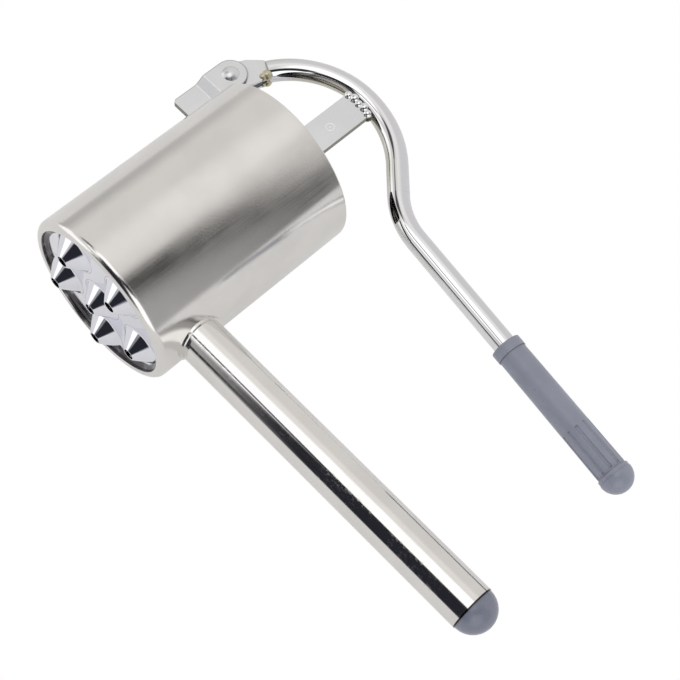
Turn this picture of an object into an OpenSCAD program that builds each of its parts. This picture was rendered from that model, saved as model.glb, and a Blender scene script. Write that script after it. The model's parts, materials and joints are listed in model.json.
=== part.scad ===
// Sevai maker: a hand press that squeezes dough through six drawn nozzles.
// A straight handle is fixed low on the barrel. A bent lever, hinged at the mouth, carries a strap
// and a pair of links that push a plunger down the barrel.
// Z runs up the barrel's axis to its open mouth, X points along the fixed handle, and the origin is
// the middle of the plane of the bottom rim. Lengths are millimetres and angles are degrees.

/* [Barrel] */
// Outside diameter of the barrel
barrel_d = 80; // [72:0.5:92]
// Height of the barrel, from bottom rim to mouth
barrel_h = 105.4; // [96:0.2:125]
// Thickness of the barrel's sheet
barrel_wall = 1.2; // [0.8:0.1:2]
// Outside radius of the rolled bottom corner
corner_r = 3.2; // [2.6:0.1:3.5]
// Width of the rim, from the barrel's outside to the opening for the nozzles
rim_w = 4.1; // [3.8:0.1:4.4]
// Height of the narrow lip that the die rests on
lip_t = 1.6; // [1.3:0.1:2.2]
// Radius that eases the lip's inner edge
lip_edge_r = 0.5; // [0.3:0.1:0.6]
// Radius inside the bottom corner, over the lip
seat_fillet = 1; // [0.6:0.1:1.2]

/* [Die] */
// Thickness of the die's sheet
die_t = 0.8; // [0.6:0.1:1.2]
// Width of the die's flat flange
flange_w = 1.9; // [1.6:0.1:2.2]
// Width of the slope between the flange and the die's face
slope_w = 2; // [1.5:0.1:2.5]
// Height of that slope
slope_h = 0.9; // [0.5:0.1:1.1]
// Nozzles in the ring round the middle one
nozzle_count = 5; // [4:1:5]
// Space between the ring's nozzles and the die's flange
nozzle_margin = 1.5; // [1.2:0.1:3]
// Turn of the ring from the handle's direction
nozzle_turn = 14.6; // [0:0.2:72]
// Diameter of the hole at a nozzle's tip
nozzle_hole_d = 5.1; // [3:0.1:6]
// Thickness of the sheet at a nozzle's tip
nozzle_lip = 0.5; // [0.3:0.1:0.7]
// Depth of a nozzle below the die's face
nozzle_drop = 6.6; // [5.5:0.1:7]
// Slope of a nozzle's flank from its axis
nozzle_flare = 45; // [40:1:48]
// Radius that blends a nozzle into the sheet
nozzle_foot_r = 1.6; // [1:0.1:2]

/* [Fixed handle] */
// Outside diameter of the handle's tube
handle_d = 20.6; // [18:0.1:24]
// Thickness of the tube
handle_wall = 1; // [0.8:0.1:1.6]
// Height of the handle's axis over the bottom rim
handle_z = 20.6; // [18:0.2:30]
// Length of the handle from the barrel's wall
handle_len = 155.8; // [120:1:180]
// Width of the weld bead where the tube meets the barrel
bead_w = 1.1; // [0.8:0.1:1.6]
// Radius of the end plug's dome
plug_dome_r = 10; // [8.8:0.1:10]
// Length of the plug's shank inside the tube
plug_shank = 15; // [10:1:25]
// Height of a rib on the plug's shank
plug_rib = 0.4; // [0.2:0.1:0.6]
// Ribs on the plug's shank
plug_ribs = 3; // [2:1:4]

/* [Hinge] */
// Distance of the hinge's axis outside the barrel's wall
hinge_out = 6.8; // [6.4:0.1:8]
// Height of the hinge's axis over the mouth
hinge_up = 12.2; // [11.2:0.2:16]
// Diameter of an ear's round eye
ear_eye_d = 14.8; // [14:0.1:15.4]
// Width of an ear below its eye
ear_w = 13; // [12:0.1:13.2]
// Thickness of an ear
ear_t = 1.4; // [1:0.1:1.8]
// Space between the ears at the lever
ear_gap = 6.6; // [6:0.1:8]
// Length of an ear below the hinge's axis
ear_drop = 27.7; // [26:0.1:36]
// Depth below the axis at which the ears start to spread
joggle_drop = 13.7; // [13:0.1:16]
// Length over which the ears spread
joggle_len = 4.2; // [3:0.1:5]
// Radius of an ear's lower corners
ear_corner_r = 1.5; // [1:0.1:2.5]
// Diameter of the hinge's rivet
rivet_d = 5; // [4:0.1:6]
// Diameter of the rivet's domed heads
rivet_head_d = 8; // [7:0.1:9]
// Height of the rivet's domed heads
rivet_head_h = 1.7; // [1.4:0.1:2.6]
// Radius of the weld beads between the ears and the barrel
ear_bead_r = 1.9; // [1.7:0.1:2.2]

/* [Lever] */
// Diameter of the lever's rod
rod_d = 10; // [9:0.1:11]
// Thickness of the fork's sheet
fork_t = 1.4; // [1:0.1:1.6]
// Length of the fork from the hinge's axis to the rod
fork_len = 17; // [16:0.2:22]
// Radius of the fork's round ends
fork_end_r = 7; // [6:0.1:7.2]
// Length of the fork's cheeks before they taper to the rod
cheek_len = 9; // [8:0.2:12]
// Half-width of the fork at the rod, beside the rod's radius
fork_tip_share = 0.9; // [0.8:0.05:1]
// Half-width of the cheeks beside the round ends' radius
cheek_share = 0.95; // [0.9:0.01:0.97]
// Lean of the fork over the horizontal
fork_lean = 63.6; // [60:0.1:66]
// Place of the arch's crown across the barrel
crown_x = -1; // [-3:0.5:2]
// Reach of the arch's far side outside the barrel's wall
arch_reach = 11.8; // [11:0.2:15]
// Turn of the arch past its crown
arch_fall = 43.4; // [41:0.2:46]
// Length of the straight shoulder after the arch
shoulder_len = 16; // [14:0.5:20]
// Radius of the elbow between the shoulder and the arm
elbow_r = 38; // [32:0.5:44]
// Droop of the arm below the horizontal
arm_droop = 7.7; // [5:0.1:10]
// Length of bare arm between the elbow and the grip
arm_len = 60.8; // [50:0.2:75]
// Distance from the rod's end to the middle of the braze on the fork
braze_in = 0.9; // [0.5:0.1:1.4]
// Radius of the larger lump of braze on each cheek
braze_lump_r = 2.5; // [2.2:0.1:2.7]
// Depth of the lumps' middles inside the cheeks' faces
braze_sink = 0.8; // [0.6:0.1:1]
// Distance of the larger lump below the fork's line
braze_low = 3.3; // [3:0.1:3.6]
// Radius of the smaller lump, behind the larger one
braze_tail_r = 1.9; // [1.7:0.1:2]
// Distance between the middles of the two lumps
braze_run = 2.2; // [2:0.1:2.5]

/* [Lever grip] */
// Length of the grip from its collar to the tip of its dome
grip_len = 78.3; // [70:0.1:110]
// Diameter of the grip at its collar
grip_collar_d = 13.8; // [13:0.1:16]
// Length of the grip's collar
grip_collar_len = 4.6; // [3:0.1:7]
// Diameter of the grip behind its collar
grip_d = 13; // [12.5:0.1:15]
// Diameter of the grip before its dome
grip_end_d = 13.6; // [13:0.1:15]
// Diameter of the grip's dome
grip_dome_d = 15.2; // [14.5:0.1:17]
// Length of the flutes at the grip's end
flute_len = 22; // [12:1:30]
// Radius of a flute
flute_r = 1; // [0.8:0.1:1.3]
// Flutes round the grip
flute_count = 10; // [6:1:12]
// Step between the ring behind the dome and the dome
ring_step = 0.2; // [0.1:0.05:0.4]
// Length of the rod inside the grip
rod_in_grip = 66; // [50:1:68]

/* [Pusher] */
// Width of the strap
strap_w = 15; // [13:0.5:17]
// Thickness of the strap
strap_t = 3; // [2.4:0.1:3.6]
// Place of the strap's middle across the barrel
strap_x = 1; // [-1:0.1:2]
// Depth of the strap's pin below the mouth
crank_depth = 20; // [18:0.5:24]
// Radius of the lumps of weld where the strap meets the rod
strap_bead_r = 2.3; // [2.1:0.1:2.5]
// Depth of the lumps' middles inside the strap's faces
strap_bead_sink = 0.5; // [0.3:0.1:0.7]
// How much larger every second lump is
strap_bead_swell = 1.2; // [1.1:0.05:1.3]
// How much higher every second lump sits
strap_bead_rise = 0.8; // [0.5:0.1:1]
// Width of a link
link_w = 12; // [10.5:0.1:13]
// Thickness of a link
link_t = 2; // [1.5:0.1:2.5]
// Diameter of the pins at the links' ends
pin_d = 5; // [4:0.1:5.4]
// Diameter of the pins' heads
pin_head_d = 8.4; // [7.6:0.1:9]
// Height of the pins' heads
pin_head_h = 1.5; // [1:0.1:2]

/* [Plunger] */
// Thickness of the plunger's dish
plunger_t = 1.5; // [1:0.1:2]
// Height of the plunger's skirt
skirt_h = 9; // [6:0.5:12]
// Radius of the dish's bottom corner
plunger_corner_r = 2.4; // [2.1:0.1:3.5]
// Space left between the plunger and the die when the lever is closed
press_gap = 1.4; // [1.2:0.1:4]
// Thickness of the bracket's foot
foot_t = 1.5; // [1.2:0.1:2]
// Depth of the bracket's foot
foot_depth = 15; // [13:0.5:18]
// Height of the lower pin over the bracket's foot
pin_over_foot = 8.6; // [8:0.1:12]
// Metal left round the bracket's slot
slot_margin = 4; // [3:0.1:5]
// Cut across the bracket's upper corners
bracket_chamfer = 3; // [1:0.5:5]
// Diameter of the rivets in the bracket's foot
foot_rivet_d = 4; // [3:0.1:5]
// Diameter of their heads
foot_rivet_head_d = 7; // [6:0.1:8]
// Height of their heads
foot_rivet_head_h = 0.9; // [0.6:0.1:1]
// Distance between them
foot_rivet_pitch = 22; // [18:1:24]

/* [Motion] */
// Angle that the lever opens from the pose in which it is drawn
lever_open = 80; // [60:1:82]
// Angle that the lever closes from that pose
lever_close = 12; // [6:1:13]

/* [Fits] */
// Radial clearance of a pin in its hole
running_gap = 0.05; // [0.02:0.01:0.1]
// Clearance beside a turning flat piece
side_gap = 0.25; // [0.2:0.05:0.3]
// Clearance between the plunger and the barrel
plunger_gap = 0.4; // [0.3:0.05:0.8]
// Clearance round a piece that sits in another
seat_gap = 0.2; // [0.1:0.05:0.3]
// Clearance round the pin in the bracket's slot
slot_gap = 0.4; // [0.3:0.05:0.8]

/* [Hidden] */
$fn = 96;
// How far a cut runs past the surface that it opens
overrun = 1;
// Lap of a bend of the rod inside its neighbours, and how much thinner it is there
splice = 0.5;
hair = 0.02;
// Facets in a quarter turn of a profile's rounding
quarter_steps = 15;
// Facets round a cut that small pieces of weld share with the barrel
fine_fn = 480;
rad = 180 / PI;

barrel_r = barrel_d / 2;
bore_r = barrel_r - barrel_wall;
lip_r = barrel_r - rim_w;
mouth_r = barrel_wall / 2;
handle_r = handle_d / 2;
rod_r = rod_d / 2;

// The die's flange sits on the lip, and its nozzles drop from its face through the lip's opening
face_z = lip_t + slope_h;
die_top = face_z + die_t;
die_r = bore_r - seat_fillet - seat_gap;
slope_r = die_r - flange_w;
face_r = slope_r - slope_w;
tip_r = nozzle_hole_d / 2 + nozzle_lip;
nozzle_base_r = tip_r + nozzle_drop * tan(nozzle_flare);
nozzle_ring_r = slope_r - nozzle_base_r - nozzle_margin;

// The hinge's axis runs along Y through this place
pivot = [-(barrel_r + hinge_out), barrel_h + hinge_up];
ear_out_x = pivot[0] - ear_eye_d / 2;
ear_in_x = ear_out_x + ear_w;
ear_top_in = ear_gap / 2;
fork_w = ear_gap - 2 * side_gap;

// The lever's centre line in the XZ plane: fork, small arc, big arc, shoulder, elbow and arm
function along(angle) = [cos(angle), sin(angle)];
small_r = (crown_x - pivot[0] - fork_len * cos(fork_lean)) / sin(fork_lean);
big_r = barrel_r + arch_reach;
rod_start = pivot + fork_len * along(fork_lean);
crown = [crown_x, rod_start[1] + small_r * (1 - cos(fork_lean))];
small_c = crown - [0, small_r];
big_c = crown - [0, big_r];
shoulder_start = big_c + big_r * along(90 - arch_fall);
elbow_start = shoulder_start + shoulder_len * along(-arch_fall);
elbow_c = elbow_start + elbow_r * along(90 - arch_fall);
arm_start = elbow_c - elbow_r * along(90 - arm_droop);
grip_start = arm_start + arm_len * along(-arm_droop);

// The strap's pin turns about the hinge's axis like a crank
crank_pin = [strap_x, barrel_h - crank_depth];
crank_r = norm(crank_pin - pivot);
rest_angle = atan2(crank_pin[1] - pivot[1], crank_pin[0] - pivot[0]);
sweep_angles = [for (a = [-lever_close : 1 : lever_open]) a];
function crank_at(a) = pivot + crank_r * along(rest_angle + a);
// The plunger moves this far for each radian of the lever: the straight line nearest to the crank's sine
half_sweep = (lever_open + lever_close) / 2 / rad;
lift_rate = crank_r * (1 - half_sweep * half_sweep / 8);
// What is left between the crank's circle and that line is the pin's travel in the bracket's slot
slip_x = [for (a = sweep_angles) crank_at(a)[0] - crank_pin[0]];
slip_z = [for (a = sweep_angles) crank_at(a)[1] - crank_pin[1] - lift_rate * a / rad];

// The plunger, as high as it is in the drawn pose
pin_height = plunger_t + foot_t + pin_over_foot;
plunger_low = die_top + press_gap;
plunger_z = plunger_low + lift_rate * lever_close / rad;
lower_pin = [strap_x, plunger_z + pin_height];
plunger_r = bore_r - plunger_gap;
bracket_z = plunger_z + plunger_t;
slot_h = pin_d + max(slip_z) - min(slip_z) + 2 * slot_gap;
slot_half = (max(slip_x) - min(slip_x)) / 2 + slot_gap;
slot_mid = lower_pin + [(max(slip_x) + min(slip_x)) / 2, (max(slip_z) + min(slip_z)) / 2];
bracket_half = slot_half + slot_h / 2 + slot_margin;
bracket_top = slot_mid[1] + slot_h / 2 + slot_margin;
foot_mid_y = (strap_t / 2 + foot_depth) / 2;

// The links hang beside the strap
link_in = strap_t / 2 + side_gap;
link_out = link_in + link_t;

steel = [0.74, 0.73, 0.71];
bright = [0.83, 0.84, 0.87];
brass = [0.72, 0.66, 0.45];
grip_grey = [0.53, 0.55, 0.61];
plug_grey = [0.43, 0.45, 0.51];

// Points round an arc about a centre, for profiles
function arc(c, r, from, to) =
    let (n = ceil(abs(to - from) / 90 * quarter_steps))
    [for (i = [0 : n]) c + r * along(from + (to - from) * i / n)];

// A piece drawn in the XZ plane, given a thickness along Y from y to y + t
module plate(y, t) {
    translate([0, y + t, 0]) rotate([90, 0, 0]) linear_extrude(t) children();
}

// A round bar along Y between two values of Y
module bar_y(place, d, y0, y1) {
    translate([place[0], y1, place[1]]) rotate([90, 0, 0]) cylinder(h = y1 - y0, d = d);
}

// A low dome of diameter d and height h on the XY plane
module dome(d, h) {
    ball_r = (d * d / 4 + h * h) / (2 * h);
    intersection() {
        translate([0, 0, h - ball_r]) sphere(r = ball_r);
        cylinder(h = h, d = d);
    }
}

// A pin along Y with a domed head at each end
module headed_pin(place, d, head_d, head_h, half) {
    bar_y(place, d, -half, half);
    for (side = [-1, 1])
        translate([place[0], side * half, place[1]]) rotate([-90 * side, 0, 0]) dome(head_d, head_h);
}

module barrel() {
    color(steel) rotate_extrude() polygon(concat(
        arc([lip_r + lip_edge_r, lip_edge_r], lip_edge_r, 180, 270),
        arc([barrel_r - corner_r, corner_r], corner_r, 270, 360),
        arc([barrel_r - mouth_r, barrel_h - mouth_r], mouth_r, 0, 180),
        arc([bore_r - seat_fillet, lip_t + seat_fillet], seat_fillet, 360, 270),
        [[lip_r, lip_t]]));
}

// Profile between a nozzle's axis and its flank, on the outside (grow = 0) or the inside (grow = die_t)
module nozzle_profile(grow) {
    slope = 90 - nozzle_flare;
    foot_c = [nozzle_base_r + nozzle_foot_r * tan(slope / 2), -nozzle_foot_r];
    reach = nozzle_foot_r + grow;
    flank = foot_c + reach * along(90 + slope);
    end_z = -nozzle_drop - (grow > 0 ? overrun : 0);
    end_r = flank[0] - (flank[1] - end_z) * tan(nozzle_flare);
    hole_r = nozzle_hole_d / 2;
    inner_end = end_r > hole_r ? [[end_r, end_z]]
        : [[hole_r, flank[1] - (flank[0] - hole_r) / tan(nozzle_flare)], [hole_r, end_z]];
    polygon(concat(
        [[0, end_z]],
        grow > 0 ? [inner_end[len(inner_end) - 1]] : [],
        grow > 0 ? [inner_end[0]] : [[end_r, end_z]],
        arc(foot_c, reach, 90 + slope, 90),
        [[foot_c[0], grow + overrun * (grow > 0 ? 1 : 0) + die_t / 2 * (grow > 0 ? 0 : 1)],
         [0, grow + overrun * (grow > 0 ? 1 : 0) + die_t / 2 * (grow > 0 ? 0 : 1)]]));
}

module nozzle_places() {
    translate([0, 0, face_z]) {
        children();
        for (i = [0 : nozzle_count - 1])
            rotate(nozzle_turn + i * 360 / nozzle_count) translate([nozzle_ring_r, 0, 0]) children();
    }
}

module die_plate() {
    color(bright) difference() {
        union() {
            rotate_extrude() polygon([
                [0, face_z], [face_r, face_z], [slope_r, lip_t], [die_r, lip_t],
                [die_r, lip_t + die_t], [slope_r, lip_t + die_t], [face_r, die_top], [0, die_top]]);
            nozzle_places() rotate_extrude() nozzle_profile(0);
        }
        nozzle_places() rotate_extrude() nozzle_profile(die_t);
    }
}

// What stands outside the barrel's wall
module outside_barrel() {
    difference() {
        children();
        translate([0, 0, -overrun]) cylinder(h = barrel_h + 2 * overrun, r = barrel_r, $fn = fine_fn);
    }
}

module handle_tube() {
    root = sqrt(barrel_r * barrel_r - handle_r * handle_r) - overrun;
    color(steel) outside_barrel() translate([root, 0, handle_z]) rotate([0, 90, 0]) difference() {
        cylinder(h = barrel_r + handle_len - root, r = handle_r);
        translate([0, 0, -overrun])
            cylinder(h = barrel_r + handle_len - root + 2 * overrun, r = handle_r - handle_wall);
    }
}

module handle_bead() {
    color(steel) outside_barrel() intersection() {
        translate([0, 0, handle_z]) rotate([0, 90, 0]) difference() {
            cylinder(h = barrel_r + bead_w, r = handle_r + bead_w);
            cylinder(h = barrel_r + bead_w + overrun, r = handle_r);
        }
        cylinder(h = handle_z + handle_d, r = barrel_r + bead_w, $fn = fine_fn);
    }
}

module handle_end_plug() {
    bore = handle_r - handle_wall;
    rib_pitch = plug_shank / (plug_ribs + 1);
    color(plug_grey) translate([barrel_r + handle_len, 0, handle_z]) rotate([0, 90, 0]) {
        half_ball(plug_dome_r);
        translate([0, 0, -plug_shank]) cylinder(h = plug_shank, r = bore - seat_gap - plug_rib);
        for (i = [1 : plug_ribs])
            translate([0, 0, -i * rib_pitch - plug_rib]) cylinder(h = 2 * plug_rib, r = bore - seat_gap);
    }
}

// Outline of an ear in the XZ plane
module ear_outline() {
    low = pivot[1] - ear_drop;
    translate(pivot) circle(d = ear_eye_d);
    translate([ear_out_x, low + ear_corner_r]) square([ear_w, ear_drop - ear_corner_r]);
    translate([ear_out_x + ear_corner_r, low]) square([ear_w - 2 * ear_corner_r, ear_drop]);
    for (x = [ear_out_x + ear_corner_r, ear_in_x - ear_corner_r])
        translate([x, low + ear_corner_r]) circle(r = ear_corner_r);
}

// Section of an ear in the YZ plane: flat against its twin below, and spread beside the lever above
module ear_section() {
    low = pivot[1] - ear_drop - overrun;
    high = pivot[1] + ear_eye_d;
    start = pivot[1] - joggle_drop;
    shift = ear_t * tan(atan2(ear_top_in, joggle_len) / 2);
    polygon([[0, low], [0, start], [ear_top_in, start + joggle_len], [ear_top_in, high],
             [ear_top_in + ear_t, high], [ear_top_in + ear_t, start + joggle_len - shift],
             [ear_t, start - shift], [ear_t, low]]);
}

module ear() {
    difference() {
        intersection() {
            translate([ear_out_x - overrun, 0, 0]) rotate([90, 0, 90])
                linear_extrude(ear_eye_d + 2 * overrun) ear_section();
            plate(0, ear_top_in + 2 * ear_t) ear_outline();
        }
        bar_y(pivot, rivet_d + 2 * running_gap, 0, ear_top_in + 2 * ear_t);
    }
}

module hinge_ear_near() {
    color(steel) mirror([0, 1, 0]) ear();
}

module hinge_ear_far() {
    color(steel) ear();
}

module hinge_weld() {
    low = pivot[1] - ear_drop + ear_corner_r;
    run = ear_drop - joggle_drop - 2 * ear_corner_r;
    color(steel) outside_barrel() difference() {
        for (side = [-1, 1])
            translate([ear_in_x, side * ear_t, low]) cylinder(h = run, r = ear_bead_r);
        translate([ear_in_x - ear_w, -ear_t, low - overrun]) cube([ear_w, 2 * ear_t, run + 2 * overrun]);
    }
}

module hinge_rivet() {
    color(bright) headed_pin(pivot, rivet_d, rivet_head_d, rivet_head_h, ear_top_in + ear_t);
}

// Puts a piece drawn along X from the hinge's axis in line with the fork
module along_fork() {
    translate([pivot[0], 0, pivot[1]]) rotate([0, -fork_lean, 0]) children();
}

// The fork as a solid: round at the hinge, and tapered to the rod at the other end
module fork_block() {
    tip = fork_tip_share * rod_r;
    side = cheek_share * fork_end_r;
    bar_y([0, 0], 2 * fork_end_r, -fork_w / 2, fork_w / 2);
    plate(-fork_w / 2, fork_w)
        polygon([[0, side], [cheek_len, side], [fork_len, tip],
                 [fork_len, -tip], [cheek_len, -side], [0, -side]]);
}

module lever_fork() {
    color(bright) along_fork() difference() {
        fork_block();
        translate([-rod_d, fork_t - fork_w / 2, -rod_d])
            cube([rod_d + fork_len - fork_t, fork_w - 2 * fork_t, 2 * rod_d]);
        bar_y([0, 0], rivet_d + 2 * running_gap, -fork_w, fork_w);
    }
}

// Lumps of braze on both cheeks, where their lower edges reach the rod
module fork_braze() {
    taper = atan2(cheek_share * fork_end_r - fork_tip_share * rod_r, fork_len - cheek_len);
    color(brass) difference() {
        along_fork() for (side = [-1, 1])
            translate([fork_len - braze_in, side * (fork_w / 2 - braze_sink), -braze_low]) {
                sphere(r = braze_lump_r);
                translate([-braze_run * cos(taper), 0, -braze_run * sin(taper)]) sphere(r = braze_tail_r);
            }
        along_fork() fork_block();
        rod_arch();
    }
}

// A bend of the rod in the XZ plane, about c, between two angles. A lap of this many millimetres is
// added at both ends, where the bend is a hair thinner than the piece that it runs into.
module rod_bend(c, r, from, to, lap) {
    more = lap / r * rad;
    translate([c[0], 0, c[1]]) rotate([90, 0, 0]) rotate(from - more)
        rotate_extrude(angle = to - from + 2 * more) translate([r, 0]) circle(r = rod_r - (lap > 0 ? hair : 0));
}

// A straight piece of the rod in the XZ plane
module rod_line(start, angle, length) {
    translate([start[0], 0, start[1]]) rotate([0, 90 - angle, 0]) cylinder(h = length, d = rod_d);
}

module rod_arch() {
    rod_bend(small_c, small_r, 90, 90 + fork_lean, 0);
    rod_bend(big_c, big_r, 90 - arch_fall, 90, splice);
}

module lever_rod() {
    color(bright) union() {
        rod_arch();
        rod_line(shoulder_start, -arch_fall, shoulder_len);
        rod_bend(elbow_c, elbow_r, 270 - arch_fall, 270 - arm_droop, splice);
        rod_line(arm_start, -arm_droop, arm_len + rod_in_grip);
    }
}

module lever_grip() {
    dome_r = grip_dome_d / 2;
    dome_z = grip_len - dome_r;
    ring_z = dome_z - dome_r / 4;
    color(grip_grey) translate([grip_start[0], 0, grip_start[1]]) rotate([0, 90 + arm_droop, 0])
        difference() {
            union() {
                rotate_extrude() polygon([
                    [0, 0], [grip_collar_d / 2, 0], [grip_collar_d / 2, grip_collar_len],
                    [grip_d / 2, grip_collar_len], [grip_end_d / 2, ring_z],
                    [dome_r - ring_step, ring_z], [dome_r - ring_step, dome_z + ring_step], [0, dome_z + ring_step]]);
                translate([0, 0, dome_z]) half_ball(dome_r);
            }
            translate([0, 0, -overrun])
                cylinder(h = rod_in_grip + overrun + seat_gap, d = rod_d + 2 * running_gap);
            for (i = [0 : flute_count - 1])
                rotate(i * 360 / flute_count)
                    translate([(grip_end_d + flute_r) / 2, 0, ring_z - flute_len - flute_r])
                        cylinder(h = flute_len, r = flute_r);
        }
}

// Half a ball over the XY plane
module half_ball(r) {
    intersection() {
        sphere(r = r);
        cylinder(h = r + overrun, r = r + overrun);
    }
}

module pusher_strap() {
    half = strap_w / 2;
    color(bright) difference() {
        plate(-strap_t / 2, strap_t) {
            translate(crank_pin) circle(r = half);
            translate([strap_x - half, crank_pin[1]]) square([strap_w, crown[1] - crank_pin[1]]);
        }
        rod_arch();
        bar_y(crank_pin, pin_d + 2 * running_gap, -strap_t, strap_t);
    }
}

// Lumps of weld on both faces of the strap, under the rod
module strap_weld() {
    lumps = 5;
    pitch = (strap_w - strap_bead_r) / (lumps - 1);
    color(bright) difference() {
        for (side = [-1, 1], i = [0 : lumps - 1]) {
            x = strap_x - (strap_w - strap_bead_r) / 2 + i * pitch;
            under = crown[1] - rod_r - (x - crown_x) * (x - crown_x) / (2 * big_r);
            odd = i % 2;
            translate([x, side * (strap_t / 2 - strap_bead_sink), under + odd * strap_bead_rise])
                sphere(r = strap_bead_r * (odd == 0 ? 1 : strap_bead_swell));
        }
        rod_arch();
        plate(-strap_t / 2, strap_t)
            translate([strap_x - strap_w, barrel_h]) square([2 * strap_w, crown[1] - barrel_h]);
    }
}

// One link, from y to y + link_t
module link(y) {
    color(bright) difference() {
        plate(y, link_t) {
            for (place = [crank_pin, lower_pin]) translate(place) circle(d = link_w);
            translate([strap_x - link_w / 2, lower_pin[1]]) square([link_w, crank_pin[1] - lower_pin[1]]);
        }
        for (place = [crank_pin, lower_pin])
            bar_y(place, pin_d + 2 * running_gap, y - overrun, y + link_t + overrun);
    }
}

module link_near() link(-link_out);

module link_far() link(link_in);

module link_pin_upper() {
    color(bright) headed_pin(crank_pin, pin_d, pin_head_d, pin_head_h, link_out);
}

module link_pin_lower() {
    color(bright) headed_pin(lower_pin, pin_d, pin_head_d, pin_head_h, link_out);
}

module plunger_disc() {
    inner_r = plunger_corner_r - plunger_t;
    foot_c = [plunger_r - plunger_corner_r, plunger_corner_r];
    color(steel) difference() {
        translate([0, 0, plunger_z]) rotate_extrude() polygon(concat(
            [[0, 0]], arc(foot_c, plunger_corner_r, 270, 360),
            [[plunger_r, skirt_h], [plunger_r - plunger_t, skirt_h]],
            arc(foot_c, inner_r, 360, 270), [[0, plunger_t]]));
        foot_rivet_places()
            cylinder(h = 2 * (plunger_t + overrun), d = foot_rivet_d + 2 * running_gap, center = true);
    }
}

module foot_rivet_places() {
    for (side = [-1, 1])
        translate([slot_mid[0] + side * foot_rivet_pitch / 2, foot_mid_y, bracket_z]) children();
}

module plunger_bracket() {
    color(bright) difference() {
        union() {
            plate(-strap_t / 2, strap_t) bracket_outline();
            translate([slot_mid[0] - bracket_half, -strap_t / 2, bracket_z])
                cube([2 * bracket_half, strap_t / 2 + foot_depth, foot_t]);
        }
        plate(-strap_t, 2 * strap_t) translate(slot_mid) {
            square([2 * slot_half, slot_h], center = true);
            for (side = [-1, 1]) translate([side * slot_half, 0]) circle(d = slot_h);
        }
        foot_rivet_places()
            cylinder(h = 2 * (foot_t + overrun), d = foot_rivet_d + 2 * running_gap, center = true);
    }
}

module bracket_outline() {
    x0 = slot_mid[0] - bracket_half;
    x1 = slot_mid[0] + bracket_half;
    polygon([[x0, bracket_z], [x1, bracket_z], [x1, bracket_top - bracket_chamfer],
             [x1 - bracket_chamfer, bracket_top], [x0 + bracket_chamfer, bracket_top],
             [x0, bracket_top - bracket_chamfer]]);
}

module plunger_rivets() {
    color(bright) foot_rivet_places() {
        translate([0, 0, -plunger_t]) cylinder(h = plunger_t + foot_t, d = foot_rivet_d);
        translate([0, 0, foot_t]) dome(foot_rivet_head_d, foot_rivet_head_h);
        translate([0, 0, -plunger_t]) mirror([0, 0, 1]) dome(foot_rivet_head_d, foot_rivet_head_h);
    }
}

barrel();
die_plate();
handle_tube();
handle_bead();
handle_end_plug();
hinge_ear_near();
hinge_ear_far();
hinge_weld();
hinge_rivet();
lever_fork();
fork_braze();
lever_rod();
lever_grip();
pusher_strap();
strap_weld();
link_near();
link_far();
link_pin_upper();
link_pin_lower();
plunger_disc();
plunger_bracket();
plunger_rivets();
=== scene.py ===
# Looks of the sevai maker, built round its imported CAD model. Lengths are metres and angles degrees,
# unless a comment says millimetres.
import json
import math

import bpy
from mathutils import Euler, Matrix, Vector


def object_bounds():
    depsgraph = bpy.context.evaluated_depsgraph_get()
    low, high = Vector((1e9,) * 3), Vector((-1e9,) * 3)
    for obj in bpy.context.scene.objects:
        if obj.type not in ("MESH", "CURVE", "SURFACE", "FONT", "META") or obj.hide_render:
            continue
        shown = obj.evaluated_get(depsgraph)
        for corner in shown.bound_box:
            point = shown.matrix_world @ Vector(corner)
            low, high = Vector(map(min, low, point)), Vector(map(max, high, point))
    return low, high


MM = 0.001


def grey(value, tint=(1, 1, 1)):
    """A grey as a colour, with each of its channels multiplied by the tint's."""
    return (value * tint[0], value * tint[1], value * tint[2], 1.0)


# Camera, fitted to the outline of the photograph. It looks up at the bottom of the barrel.
CAMERA_AT = Vector((0.24595, -0.57450, -0.17554))
CAMERA_TURN = (121.807, -45.315, -7.602)
CAMERA_LENS = 82.29
CAMERA_SENSOR = 36.0
CAMERA_CLIP_START = 0.01
CAMERA_CLIP_END = 10

# The pale table behind the part
FLOOR_SIZE = 1.6
FLOOR_GAP = 0.0005
FLOOR_GLOW = 0.42
FLOOR_PAINT = (0.50, 0.495, 0.485, 1)

# The room behind the screens, at the die's end of the part and at its open end, and the heights between
# which one goes over into the other. Here and below, a pair of values says where a step begins and where
# it is complete.
ROOM_BELOW = grey(0.74, (1, 0.99, 0.99))
ROOM_ABOVE = grey(0.77, (1, 0.98, 0.96))
ROOM_STEP = (-0.6, 0.4)

# The dark beam overhead, which makes the long dark band on the barrel. Its left and right side are
# planes through the middle of the studio, given by the direction across them, and BEAM_LEAST is its least
# width. Past the left side the light goes from the first of two greys to the second. The beam fades out
# at its far and near end, and below the horizon.
BEAM_LEFT = Vector((-0.491, 0.045, 1))
BEAM_RIGHT = Vector((-0.411, 0.242, 1))
BEAM_LEAST = 0.055
BEAM_GREYS = (grey(0.44), grey(0.22))
BEAM_GREY_STEP = (-0.16, -0.04)
BEAM_LEFT_STEP = (-0.07, -0.01)
BEAM_RIGHT_STEP = (-0.085, 0.045)
BEAM_FAR_STEP = (-0.10, -0.02)
BEAM_NEAR_STEP = (0.88, 0.96)
BEAM_LOW_STEP = (-0.10, 0.05)

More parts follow.
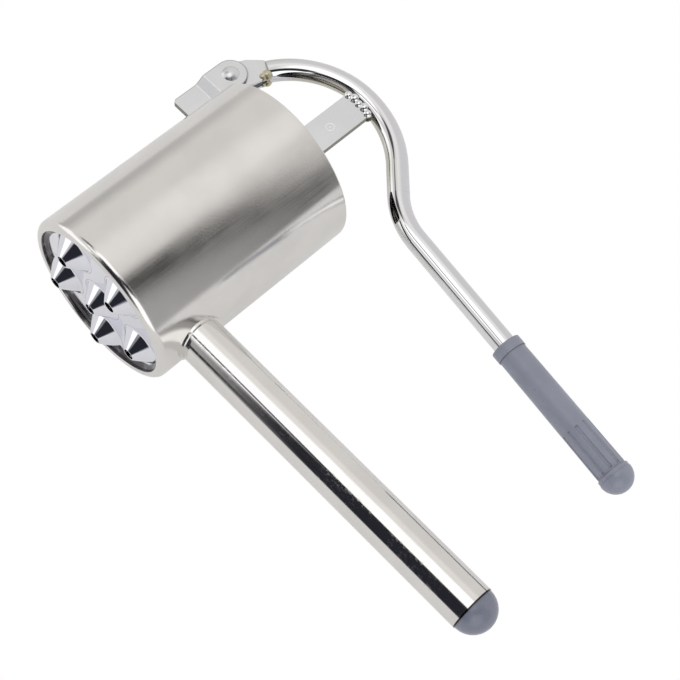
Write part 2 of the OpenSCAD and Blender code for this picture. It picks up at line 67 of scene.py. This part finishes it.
# The studio's screens and soft boxes: the middle and the half-size of each in studio angles, the softness
# of its edge, and its colour. Of two studio angles the first goes round the Y axis from +X towards +Z,
# and the second is the height towards -Y.
DARK_SCREEN = grey(0.024, (0.9, 0.95, 1.25))
SKY = (
    ((-120, 68), (20.5, 28), 0.13, grey(1.35)),
    ((-143, -4), (30, 26), 0.12, grey(1.25)),
    ((120, 66), (20, 10), 0.15, grey(0.92, (1, 0.98, 0.965))),
    ((171, 2), (17, 11), 0.20, grey(0.50, (1, 0.985, 0.97))),
    ((-35, 18), (22, 30), 0.05, grey(1.35)),
    ((-28, 57), (18, 12), 0.05, grey(0.03)),
    ((-86, 24), (22, 27), 0.09, DARK_SCREEN),
    ((-86, 42), (17, 16), 0.05, DARK_SCREEN),
    ((-119, 54), (18, 2.8), 0.02, grey(0.03)),
    ((-171, 48), (8, 10), 0.05, grey(0.08)),
    ((-112, 10), (6, 6), 0.05, grey(0.03)),
    ((-117, -9), (4, 4.5), 0.04, grey(0.10)),
)
# How far in front of the studio's middle a screen starts to show, and the least value to divide by
SKY_FRONT_STEP = (0.0, 0.02)
SKY_LEAST = 0.001

# Colours of the materials
WHITE = grey(1.0)
BLACK = grey(0.0)
STEEL = grey(0.80, (1, 0.98, 0.957))
PLATE = grey(0.80, (0.975, 0.985, 1.0))
STRAP = grey(0.80, (0.965, 0.985, 1.01))
DIE_CHROME = grey(0.88, (0.96, 0.97, 1.04))
ROD_CHROME = grey(0.86, (0.985, 0.99, 1.0))
WELD_CHROME = grey(0.88, (0.985, 0.99, 1.0))
BRAZE = grey(0.66, (1.0, 0.93, 0.68))
GRIP = (0.320, 0.343, 0.425, 1)
PLUG = (0.240, 0.257, 0.335, 1)

# Colours of the marks
# Painted shade on the cut edges of flat pieces
CUT_EDGE_SHADE = grey(0.30, (1, 0.95, 0.85))
# Painted shade along the ears' edges
EAR_EDGE_SHADE = grey(0.30, (1, 0.96, 0.88))
EYE_SHADE = grey(0.25, (1, 0.97, 0.9))
# Painted reflection of the shaded table, on the inner side of the rod's arch
ARCH_YELLOW_REFLECTION = grey(0.60, (1.0, 0.98, 0.84))
# Painted shade on the back of the rod's arch
ARCH_BACK_SHADE = grey(0.75, (0.98, 0.985, 1.03))
# Painted shade of the gap at the tube's end
TUBE_GAP_SHADE = grey(0.02)
# Painted shade round the nozzles' feet
FOOT_SHADE = grey(0.22)
# Painted shade with some dark residue, for the seam round the die
SEAM_SHADE_AND_RESIDUE = (0.085, 0.08, 0.085, 1)

# How far a noise is stretched along each axis: not at all, in the barrel's long brush lines, in the
# shorter ones of rolled sheet, in the tube's lines, and in its specks
EVEN = (1, 1, 1)
BRUSHED = (1, 1, 0.03)
ROLLED = (1, 1, 0.2)
DRAWN = (0.03, 1, 1)
SPECKLED = (0.6, 1, 1)

# The middle of a noise, which most of it lies near, and steps in its value
NOISE_MIDDLE = 0.5
GLOSS_STEP = (0.3, 0.7)
CLOUD_STEP = (0.35, 0.65)
SCRATCH_STEP = (0.0, 0.004)
SCRATCHED_STEP = (0.55, 0.65)
SPECK_STEP = (0.44, 0.66)
SPECKLED_STEP = (0.30, 0.60)
PUNCH_KEPT_STEP = (0.3, 0.55)
SEAM_FULL_STEP = (0.25, 0.5)

# The share of its colour that metal, plastic and the painted shade in plastic's hollows keep where they are
# darkest, the step of that painted shade between hollow and open places, how far hollows reach in
# millimetres, and the plastic's refraction
METAL_DARKEST = 0.96
PLASTIC_DARKEST = 0.93
HOLLOW_SHADE_DARKEST = 0.45
HOLLOW_SHADE_STEP = (0.45, 1.0)
HOLLOW_REACH = 3.0
PLASTIC_IOR = 1.55

# The step of the painted shade from a flat piece's cut edges to its faces, in how well they look along Y
CUT_EDGE_SHADE_STEP = (0.25, 0.6)

# Places on the part, in millimetres. The round mark on the strap, the steps of its ring and its dot, and
# the least share of it that is kept
PUNCH_AT = (1.5, 0, 132.9)
PUNCH_RADIUS = 1.9
PUNCH_RING_STEP = (0.1, 0.5)
PUNCH_DOT_STEP = (0.3, 0.7)
PUNCH_LEAST = 0.3
# The heights of the ears' folds, and the step of the painted highlight line at each
FOLDS = (103.42, 107.62)
FOLD_STEP = (0.05, 0.4)
# The round eye on top of an ear, the sides of the strip below it, and the step of the painted shade along
# the edge round both
EYE_AT = (-46.8, 0, 117.6)
EYE_RADIUS = 7.4
STRIP_SIDES = (-54.2, -41.2)
EAR_EDGE_SHADE_STEP = (0.05, 0.5)
# The near eye's shade on the fork, and its step
EYE_SHADE_AT = (-47.3, 0, 118.3)
EYE_SHADE_STEP = (EYE_RADIUS - 0.1, EYE_RADIUS + 0.7)
# The directions that the inner side of the rod's arch faces. In how well a place faces them: the step of
# the yellow painted reflection band, the step of its middle and the share of yellow there, and the step of
# the painted shade on the back. Then the step along X where the band ends
ARCH_SIDES = ((0, 0.38, -0.92), (-0.96, -0.28, 0))
ARCH_BAND_STEP = (0.5, 0.7)
ARCH_MIDDLE_STEP = (0.95, 0.99)
ARCH_MIDDLE_SHARE = 0.2
ARCH_BACK_SHADE_STEP = (-0.55, -0.35)
ARCH_END_STEP = (34.0, 48.0)
# The painted shade of the gap at the tube's end
TUBE_GAP_SHADE_STEP = (195.05, 195.35)
# The middle of the die, its ring of nozzles, the radius of a nozzle's foot and the step of the painted
# shade line there
DIE_MIDDLE = (0, 0, 0)
RING_NOZZLES = 5
RING_RADIUS = 24.55
RING_TURN = 14.6
FOOT_RADIUS = 10.35
FOOT_SHADE_STEP = (0.08, 0.22)
# The seam round the die, painted shade with some dark residue: the steps of its inner and outer side and of
# its height, and its least share
SEAM_INNER_STEP = (33.4, 33.9)
SEAM_OUTER_STEP = (36.3, 36.5)
SEAM_HEIGHT_STEP = (0.25, 0.7)
SEAM_LEAST = 0.75


def direction(around, height):
    """A unit vector from two studio angles."""
    a = math.radians(around)
    h = math.radians(height)
    return Vector((math.cos(h) * math.cos(a), -math.sin(h), math.cos(h) * math.sin(a)))


class Nodes:
    """Short calls for building a node tree. A value is a number, a colour, a vector or a socket."""

    def __init__(self, tree):
        self.tree = tree
        tree.nodes.clear()

    def add(self, kind, **settings):
        node = self.tree.nodes.new(kind)
        for name, value in settings.items():
            setattr(node, name, value)
        return node

    def link(self, out, into):
        self.tree.links.new(out, into)

    def put(self, socket, value):
        """Links value into the socket if it is a socket, and otherwise sets it."""
        if isinstance(value, bpy.types.NodeSocket):
            self.link(value, socket)
        else:
            socket.default_value = value

    def fill(self, node, *values):
        """Puts values into the node's first sockets."""
        for socket, value in zip(node.inputs, values):
            self.put(socket, value)
        return node

    def math(self, kind, *values):
        return self.fill(self.add("ShaderNodeMath", operation=kind), *values).outputs[0]

    def plus(self, a, b):
        return self.math("ADD", a, b)

    def minus(self, a, b):
        return self.math("SUBTRACT", a, b)

    def times(self, a, b):
        return self.math("MULTIPLY", a, b)

    def lesser(self, a, b):
        return self.math("MINIMUM", a, b)

    def greater(self, a, b):
        return self.math("MAXIMUM", a, b)

    def size(self, a):
        """The value without its sign."""
        return self.math("ABSOLUTE", a)

    def vector(self, kind, *values, output="Vector"):
        return self.fill(self.add("ShaderNodeVectorMath", operation=kind), *values).outputs[output]

    def dot(self, a, b):
        return self.vector("DOT_PRODUCT", a, b, output="Value")

    def part(self, vector, axis):
        """One coordinate of a vector."""
        return self.fill(self.add("ShaderNodeSeparateXYZ"), vector).outputs[axis]

    def ramp(self, value, low, high, start=0.0, end=1.0):
        """A smooth step from start to end as value goes from low to high."""
        node = self.add("ShaderNodeMapRange", interpolation_type="SMOOTHSTEP")
        return self.fill(node, value, low, high, start, end).outputs[0]

    def fade(self, value, low, high):
        """A smooth step from 1 to 0 as value goes from low to high."""
        return self.ramp(value, low, high, 1.0, 0.0)

    def mix(self, share, a, b):
        """A colour between a and b. The node has sockets for other kinds of value between these."""
        node = self.add("ShaderNodeMix", data_type="RGBA")
        self.put(node.inputs[0], share)
        self.put(node.inputs[6], a)
        self.put(node.inputs[7], b)
        return node.outputs[2]

    def choose(self, share, a, b):
        """The shader a where share is 0, and b where it is 1."""
        return self.fill(self.add("ShaderNodeMixShader"), share, a, b).outputs[0]


class Surface(Nodes):
    """The node tree of one material. Marks change its tone, its roughness and its normal one after
    another, and close() links these to the shader. Places and depths are in millimetres."""

    def __init__(self, name, base, roughness, metallic):
        self.material = bpy.data.materials.new(name)
        self.material.use_nodes = True
        super().__init__(self.material.node_tree)
        self.shader = self.add("ShaderNodeBsdfPrincipled")
        self.shader.inputs["Base Color"].default_value = base
        self.shader.inputs["Roughness"].default_value = roughness
        self.shader.inputs["Metallic"].default_value = metallic
        self.link(self.shader.outputs[0], self.add("ShaderNodeOutputMaterial").inputs[0])
        place = self.add("ShaderNodeTexCoord")
        self.facing = place.outputs["Normal"]
        self.where = self.vector("MULTIPLY", place.outputs["Object"], (1 / MM, 1 / MM, 1 / MM))
        self.tone = base
        self.rough = roughness
        self.normal = None

    def noise(self, scale, detail, stretch=EVEN):
        """Noise from 0 to 1, most of it near 0.5, with about scale lumps to the millimetre."""
        mapping = self.add("ShaderNodeMapping")
        self.link(self.where, mapping.inputs[0])
        mapping.inputs["Scale"].default_value = stretch
        node = self.add("ShaderNodeTexNoise")
        self.link(mapping.outputs[0], node.inputs["Vector"])
        node.inputs["Scale"].default_value = scale
        node.inputs["Detail"].default_value = detail
        return node.outputs["Fac"]

    def distance(self, middle, without):
        """How far the place is from middle, with one axis left out."""
        shift = self.vector("SUBTRACT", self.where, middle)
        flat = self.vector("MULTIPLY", shift, [0 if axis == without else 1 for axis in "XYZ"])
        return self.vector("LENGTH", flat, output="Value")

    def line(self, value, middle, step):
        """1 where value is within a line's half-width of middle, and 0 outside it."""
        return self.fade(self.size(self.minus(value, middle)), *step)

    def tint(self, share, colour, most=1.0):
        """Turns the tone towards colour, by most where share is 1."""
        self.tone = self.mix(self.times(share, most), self.tone, colour)

    def roughen(self, share, most):
        """Adds to the roughness, by most where share is 1."""
        self.rough = self.plus(self.rough, self.times(share, most))

    def emboss(self, height, depth):
        """Raises the surface by depth where height is 1."""
        node = self.add("ShaderNodeBump")
        node.inputs["Distance"].default_value = depth * MM
        self.link(height, node.inputs["Height"])
        if self.normal is not None:
            self.link(self.normal, node.inputs["Normal"])
        self.normal = node.outputs[0]

    def close(self):
        """Links the tone, the roughness and the normal, and gives the material."""
        self.link(self.tone, self.shader.inputs["Base Color"])
        self.link(self.rough, self.shader.inputs["Roughness"])
        self.link(self.normal, self.shader.inputs["Normal"])
        return self.material


# Marks. Each of these changes the surface that it is given.
def scratches(s):
    """Short fine rub marks in a few patches, most of them along the part."""
    thin = s.line(s.noise(scale=0.9, detail=4.0, stretch=ROLLED), NOISE_MIDDLE, SCRATCH_STEP)
    patches = s.ramp(s.noise(scale=0.05, detail=1.0), *SCRATCHED_STEP)
    s.roughen(s.times(thin, patches), most=0.06)


def mottle(s):
    """The small even pits of a blasted sheet, which show in dark reflections."""
    s.emboss(s.noise(scale=1.5, detail=2.0), depth=0.0095)


def shaded_cut_edges(s):
    """Darker cut edges on a flat piece whose faces look along Y: painted shade, for the dark reflections
    there. The edges are also rougher.
    """
    edge = s.fade(s.size(s.part(s.facing, "Y")), *CUT_EDGE_SHADE_STEP)
    s.tint(edge, CUT_EDGE_SHADE)
    s.roughen(edge, most=0.2)


def punch_ring(s):
    """The faint round dent on the strap, and the dot inside it. Parts of them are rubbed away."""
    away = s.distance(PUNCH_AT, without="Y")
    shape = s.greater(s.line(away, PUNCH_RADIUS, PUNCH_RING_STEP), s.fade(away, *PUNCH_DOT_STEP))
    mark = s.times(shape, s.ramp(s.noise(scale=0.4, detail=1.0), *PUNCH_KEPT_STEP, PUNCH_LEAST, 1.0))
    s.tint(mark, WHITE, most=0.5)
    s.emboss(mark, depth=-0.05)


def fold_highlights(s):
    """Two painted highlight lines where a hinge ear is bent, for the light caught by the bends."""
    z = s.part(s.where, "Z")
    for fold in FOLDS:
        s.tint(s.line(z, fold, FOLD_STEP), WHITE, most=0.8)


def ear_edge_shade(s):
    """Painted shade along the edge round an ear's face, a round eye on a strip, for the dark line of its
    bevelled edge.
    """
    x = s.part(s.where, "X")
    z = s.part(s.where, "Z")
    eye = s.minus(EYE_RADIUS, s.distance(EYE_AT, without="Y"))
    strip = s.lesser(s.minus(x, STRIP_SIDES[0]), s.minus(STRIP_SIDES[1], x))
    strip = s.lesser(strip, s.minus(EYE_AT[2], z))
    s.tint(s.fade(s.greater(eye, strip), *EAR_EDGE_SHADE_STEP), EAR_EDGE_SHADE, most=0.75)


def eye_shade(s):
    """The soft shade of the near ear's eye on the fork behind it."""
    s.tint(s.fade(s.distance(EYE_SHADE_AT, without="Y"), *EYE_SHADE_STEP), EYE_SHADE, most=0.65)


def arch_reflections(s):
    """Painted reflection and shade on the rod's arch: a dimmer painted back, and a yellowish painted band
    on its inner side for the shaded table that it mirrors. The middle of that side is less yellow."""
    sides = [s.dot(s.facing, side) for side in ARCH_SIDES]
    inner = s.greater(*sides)
    outer = s.lesser(*sides)
    band = s.times(s.ramp(inner, *ARCH_BAND_STEP), s.ramp(inner, *ARCH_MIDDLE_STEP, 1.0, ARCH_MIDDLE_SHARE))
    band = s.times(band, s.fade(s.part(s.where, "X"), *ARCH_END_STEP))
    s.tint(s.fade(outer, *ARCH_BACK_SHADE_STEP), ARCH_BACK_SHADE)
    s.tint(band, ARCH_YELLOW_REFLECTION, most=0.85)


def tube_gap_shade(s):
    """Painted shade of the dark gap between the tube's end and its plug."""
    s.tint(s.ramp(s.part(s.where, "X"), *TUBE_GAP_SHADE_STEP), TUBE_GAP_SHADE)


def specks(s):
    """Small dull specks on the tube, which show where it mirrors something dark."""
    small = s.ramp(s.noise(scale=1.0, detail=4.0, stretch=SPECKLED), *SPECK_STEP)
    patches = s.ramp(s.noise(scale=0.05, detail=2.0), *SPECKLED_STEP)
    s.roughen(s.times(small, patches), most=0.12)


def nozzle_foot_shade(s):
    """A thin line of painted shade round the foot of each nozzle."""
    nearest = s.distance(DIE_MIDDLE, without="Z")
    for i in range(RING_NOZZLES):
        turn = math.radians(RING_TURN + 360 / RING_NOZZLES * i)
        foot = (RING_RADIUS * math.cos(turn), RING_RADIUS * math.sin(turn), 0)
        nearest = s.lesser(nearest, s.distance(foot, without="Z"))
    s.tint(s.line(nearest, FOOT_RADIUS, FOOT_SHADE_STEP), FOOT_SHADE, most=0.55)


def seam_shade_and_residue(s):
    """The dull dark seam between the rim and the die, at the die's sloped edge and the rim's inside:
    painted shade of the groove there, with some dark residue.
    """
    away = s.distance(DIE_MIDDLE, without="Z")
    share = s.times(s.ramp(away, *SEAM_INNER_STEP), s.fade(away, *SEAM_OUTER_STEP))
    share = s.times(share, s.ramp(s.part(s.where, "Z"), *SEAM_HEIGHT_STEP))
    share = s.times(share, s.ramp(s.noise(scale=0.15, detail=2.0), *SEAM_FULL_STEP, SEAM_LEAST, 1.0))
    s.tint(share, SEAM_SHADE_AND_RESIDUE)
    s.roughen(share, most=0.15)


def metal(name, base, roughness, spread, grain=0.0, stretch=EVEN, waves=0.02, marks=()):
    """Bare or plated metal. spread varies the roughness, grain is the depth of its brushing, stretch
    says which way that runs, and waves is the depth of slow dents. Depths are in millimetres."""
    s = Surface(name, base, roughness, metallic=1.0)
    cloud = s.noise(scale=0.06, detail=3.0)
    fine = s.noise(scale=1.6, detail=3.0, stretch=stretch)
    mean = s.times(s.plus(cloud, fine), 0.5)
    s.rough = s.ramp(mean, *GLOSS_STEP, roughness - spread, roughness + spread)
    s.tint(s.ramp(cloud, *CLOUD_STEP), grey(METAL_DARKEST, base[:3]))
    s.emboss(s.noise(scale=0.03, detail=1.0), waves)
    s.emboss(fine, grain)
    for mark in marks:
        mark(s)
    return s.close()


def plastic(name, base, roughness, spread=0.05):
    """Moulded plastic with a fine grain, a slightly uneven gloss and painted shade in its hollows."""
    s = Surface(name, base, roughness, metallic=0.0)
    cloud = s.noise(scale=0.12, detail=3.0)
    s.rough = s.ramp(cloud, *GLOSS_STEP, roughness - spread, roughness + spread)
    s.tint(s.ramp(cloud, *GLOSS_STEP), grey(PLASTIC_DARKEST, base[:3]))
    # Painted shade in the plastic's hollows
    hollow_shade = s.add("ShaderNodeAmbientOcclusion", samples=8)
    hollow_shade.inputs["Distance"].default_value = HOLLOW_REACH * MM
    s.tint(s.fade(hollow_shade.outputs["AO"], *HOLLOW_SHADE_STEP), grey(HOLLOW_SHADE_DARKEST, base[:3]))
    s.emboss(s.noise(scale=3.0, detail=2.0), depth=0.012)
    s.shader.inputs["IOR"].default_value = PLASTIC_IOR
    return s.close()


def satin(name, marks):
    """The barrel's brushed steel."""
    return metal(name, STEEL, roughness=0.15, spread=0.03, grain=0.0015, stretch=BRUSHED, marks=marks)


def sheet(name, marks):
    """Plated sheet, for the ears and the small pieces."""
    return metal(name, PLATE, roughness=0.26, spread=0.01, stretch=ROLLED, marks=marks)


def slot_materials():
    """The material of each of the record's slots, for the nodes that have none of their own."""
    return {
        "satin_steel": satin("satin_steel", (mottle, scratches)),
        "plain_steel": sheet("plain_steel", (shaded_cut_edges,)),
        "polished_tube": metal("polished_tube", STEEL, roughness=0.07, spread=0.02, stretch=DRAWN,
                               waves=0.01, marks=(specks, tube_gap_shade)),
        "braze": metal("braze", BRAZE, roughness=0.42, spread=0.08, grain=0.03, waves=0.03),
        "grip_plastic": plastic("grip_plastic", GRIP, roughness=0.31),
        "plug_plastic": plastic("plug_plastic", PLUG, roughness=0.22),
    }


def own_materials():
    """The materials of the nodes that have one of their own."""
    ear = sheet("ear_steel", (shaded_cut_edges, fold_highlights, ear_edge_shade))
    return {
        "barrel": satin("barrel_steel", (mottle, scratches, seam_shade_and_residue)),
        "die_plate": metal("die_chrome", DIE_CHROME, roughness=0.04, spread=0.01,
                           marks=(nozzle_foot_shade, seam_shade_and_residue)),
        "strap_weld": metal("weld_chrome", WELD_CHROME, roughness=0.12, spread=0.03, grain=0.05,
                            waves=0.04),
        "lever_rod": metal("rod_chrome", ROD_CHROME, roughness=0.035, spread=0.01, waves=0.01,
                           marks=(arch_reflections,)),
        "pusher_strap": metal("strap_steel", STRAP, roughness=0.22, spread=0.03, grain=0.0003,
                              stretch=ROLLED, marks=(shaded_cut_edges, punch_ring)),
        "lever_fork": metal("fork_steel", PLATE, roughness=0.24, spread=0.01, marks=(eye_shade,)),
        "hinge_ear_near": ear,
        "hinge_ear_far": ear,
        "hinge_rivet": metal("rivet_steel", PLATE, roughness=0.30, spread=0.03, grain=0.0003),
    }


def dress(frame):
    """Gives each CAD node its material."""
    slots = {part["node"]: part["material_slot"] for part in frame["record"]["subparts"]}
    by_slot = slot_materials()
    own = own_materials()
    for name, node in frame["nodes"].items():
        material = own[name] if name in own else by_slot[slots[name]]
        for slot in node.material_slots:
            slot.material = material


def make_camera():
    """The camera, at the photograph's place."""
    data = bpy.data.cameras.new("camera")
    data.lens = CAMERA_LENS
    data.sensor_width = CAMERA_SENSOR
    data.clip_start = CAMERA_CLIP_START
    data.clip_end = CAMERA_CLIP_END
    camera = bpy.data.objects.new("camera", data)
    camera.location = CAMERA_AT
    camera.rotation_euler = Euler([math.radians(a) for a in CAMERA_TURN], "XYZ")
    bpy.context.collection.objects.link(camera)
    bpy.context.scene.camera = camera


def beam(nodes, where, colour):
    """Adds the dark beam overhead to the room's colour."""
    near = nodes.times(nodes.part(where, "Y"), -1.0)
    left = nodes.dot(where, BEAM_LEFT)
    right = nodes.lesser(nodes.dot(where, BEAM_RIGHT), nodes.minus(left, BEAM_LEAST))
    shade = nodes.mix(nodes.ramp(left, *BEAM_GREY_STEP), *BEAM_GREYS)
    shade = nodes.mix(nodes.ramp(left, *BEAM_LEFT_STEP), shade, BLACK)
    shade = nodes.mix(nodes.ramp(right, *BEAM_RIGHT_STEP), shade, colour)
    share = nodes.times(nodes.ramp(near, *BEAM_FAR_STEP), nodes.fade(near, *BEAM_NEAR_STEP))
    share = nodes.times(share, nodes.ramp(nodes.part(where, "Z"), *BEAM_LOW_STEP))
    return nodes.mix(share, colour, shade)


def patch(nodes, where, middle, half, soft):
    """How much a direction lies in a rectangle of the sky."""
    facing = direction(*middle)
    across = direction(middle[0] + 90, 0)
    front = nodes.dot(where, facing)
    safe = nodes.greater(front, SKY_LEAST)
    share = nodes.ramp(front, *SKY_FRONT_STEP)
    for axis, angle in zip((across, across.cross(facing)), half):
        slope = nodes.size(nodes.math("DIVIDE", nodes.dot(where, axis), safe))
        edge = math.tan(math.radians(angle))
        share = nodes.times(share, nodes.fade(slope, edge - soft, edge + soft))
    return share


def make_world():
    """White for the camera. Light and reflections get a pale room with soft boxes and dark screens."""
    world = bpy.data.worlds.new("studio")
    bpy.context.scene.world = world
    world.use_nodes = True
    nodes = Nodes(world.node_tree)
    where = nodes.add("ShaderNodeTexCoord").outputs["Generated"]
    room = nodes.mix(nodes.ramp(nodes.part(where, "Z"), *ROOM_STEP), ROOM_BELOW, ROOM_ABOVE)
    colour = beam(nodes, where, room)
    for middle, half, soft, shade in SKY:
        colour = nodes.mix(patch(nodes, where, middle, half, soft), colour, shade)
    seen = nodes.add("ShaderNodeLightPath").outputs["Is Camera Ray"]
    light = nodes.fill(nodes.add("ShaderNodeBackground"), colour)
    white = nodes.fill(nodes.add("ShaderNodeBackground"), WHITE)
    both = nodes.choose(seen, light.outputs[0], white.outputs[0])
    nodes.link(both, nodes.add("ShaderNodeOutputWorld").inputs[0])


def floor_material():
    """The camera sees the white room through it, and from behind it isn't there. In light and
    reflections it is a pale table that glows a little, with the part's soft shade on it."""
    material = bpy.data.materials.new("floor")
    material.use_nodes = True
    nodes = Nodes(material.node_tree)
    seen = nodes.add("ShaderNodeLightPath").outputs["Is Camera Ray"]
    behind = nodes.add("ShaderNodeNewGeometry").outputs["Backfacing"]
    pale = nodes.fill(nodes.add("ShaderNodeBsdfDiffuse"), FLOOR_PAINT)
    glow = nodes.add("ShaderNodeEmission")
    glow.inputs["Strength"].default_value = FLOOR_GLOW
    lit = nodes.fill(nodes.add("ShaderNodeAddShader"), pale.outputs[0], glow.outputs[0])
    clear = nodes.add("ShaderNodeBsdfTransparent")
    both = nodes.choose(nodes.greater(seen, behind), lit.outputs[0], clear.outputs[0])
    nodes.link(both, nodes.add("ShaderNodeOutputMaterial").inputs[0])
    return material


def make_floor(low, high):
    """The table that the press lies on, upright behind it in the part's own frame."""
    place = ((low[0] + high[0]) / 2, high[1] + FLOOR_GAP, (low[2] + high[2]) / 2)
    upright = (math.radians(90), 0, 0)
    bpy.ops.mesh.primitive_plane_add(size=FLOOR_SIZE, location=place, rotation=upright)
    floor = bpy.context.object
    floor.name = "floor"
    floor.data.materials.append(floor_material())


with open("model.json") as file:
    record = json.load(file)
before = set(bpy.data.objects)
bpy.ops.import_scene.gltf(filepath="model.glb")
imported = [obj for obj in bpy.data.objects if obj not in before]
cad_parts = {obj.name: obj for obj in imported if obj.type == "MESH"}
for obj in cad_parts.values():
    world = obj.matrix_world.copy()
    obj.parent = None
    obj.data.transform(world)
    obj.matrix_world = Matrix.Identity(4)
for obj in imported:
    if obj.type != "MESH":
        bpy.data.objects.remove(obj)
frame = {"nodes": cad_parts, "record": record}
cad_box = [list(v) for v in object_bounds()]
bpy.context.scene.view_settings.view_transform = "Standard"
make_camera()
make_world()
make_floor(*cad_box)
dress(frame)
